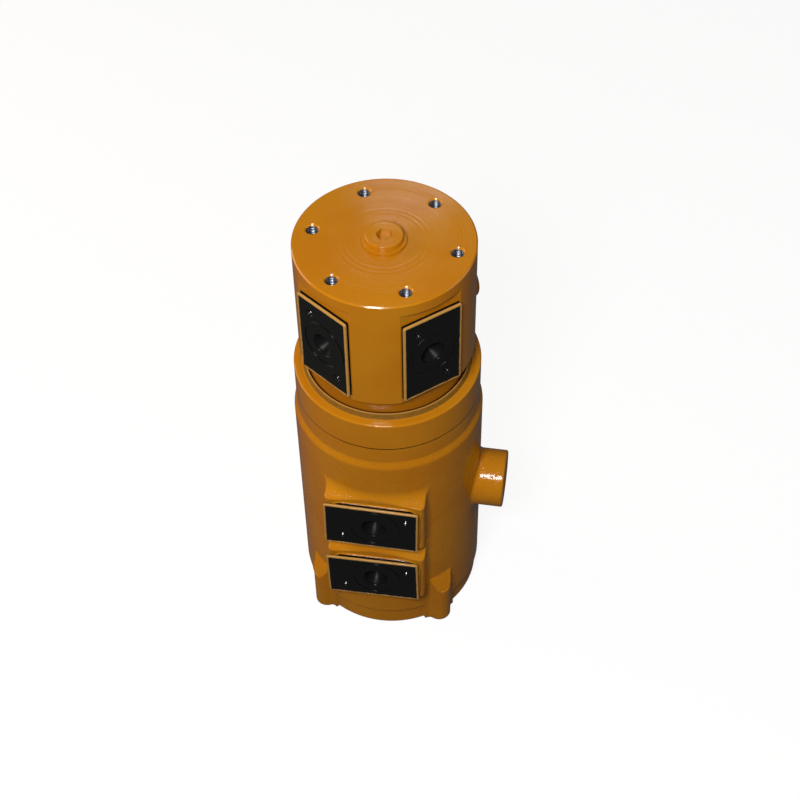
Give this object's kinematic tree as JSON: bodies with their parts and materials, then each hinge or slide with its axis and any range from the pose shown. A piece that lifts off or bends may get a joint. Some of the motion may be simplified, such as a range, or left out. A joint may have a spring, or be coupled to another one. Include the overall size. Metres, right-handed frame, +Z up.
{
  "type": "hydraulic rotary union",
  "caption": "Hydraulic rotary union: cast housing with two flange pads, a threaded side port and feet, and a rotor whose drilled head turns freely on top.",
  "frame": {"origin": "centre of the housing's base face, on the axis of rotation", "axes": "+Z up along the axis of rotation towards the rotor's head, -Y out of the two flange pads, +X out of the threaded side port"},
  "size_m": [0.191, 0.1757, 0.4371],
  "materials": {
    "enamelled_casting": "glossy yellow-orange enamel over a cast barrel, slightly uneven",
    "enamelled_machined": "glossy yellow-orange enamel over turned steel, with tapped holes left bare",
    "enamelled_plug": "yellow-orange enamel sprayed over steel plugs and their washers",
    "wiper_rubber": "rubber lip dusted with the same enamel",
    "moulded_cover": "black moulded plastic with overspray along its edges",
    "bronze": "turned bronze",
    "bearing_plastic": "filled bearing plastic",
    "nitrile_rubber": "black nitrile rubber",
    "bright_steel": "bare machined steel"
  },
  "bodies": {
    "stator": {"housing": "enamelled_casting", "gland_ring": "enamelled_casting", "dust_wiper": "wiper_rubber", "joint_ring": "nitrile_rubber", "upper_thrust_washer": "bronze", "lower_thrust_washer": "bronze", "upper_guide_ring": "bearing_plastic", "lower_guide_ring": "bearing_plastic", "slide_ring_1": "bearing_plastic", "slide_ring_2": "bearing_plastic", "slide_ring_3": "bearing_plastic", "slide_ring_4": "bearing_plastic", "energiser_ring_1": "nitrile_rubber", "energiser_ring_2": "nitrile_rubber", "energiser_ring_3": "nitrile_rubber", "energiser_ring_4": "nitrile_rubber", "end_cover": "bright_steel", "end_cover_ring": "nitrile_rubber", "circlip": "bright_steel", "housing_cover_upper": "moulded_cover", "housing_cover_lower": "moulded_cover"},
    "rotating_half": {"rotor": "enamelled_machined", "retainer_disc": "bright_steel", "retainer_screws": "bright_steel", "gallery_plugs": "bright_steel", "top_plug": "enamelled_plug", "top_seal": "enamelled_plug", "side_plug": "enamelled_plug", "side_seal": "enamelled_plug", "rotor_cover_a": "moulded_cover", "rotor_cover_b": "moulded_cover"}
  },
  "joints": [
    {"name": "rotor_spin", "type": "hinge", "parent": "stator", "child": "rotating_half", "pos_m": [0, 0, 0], "axis": [0, 0, 1], "continuous": true}
  ]
}
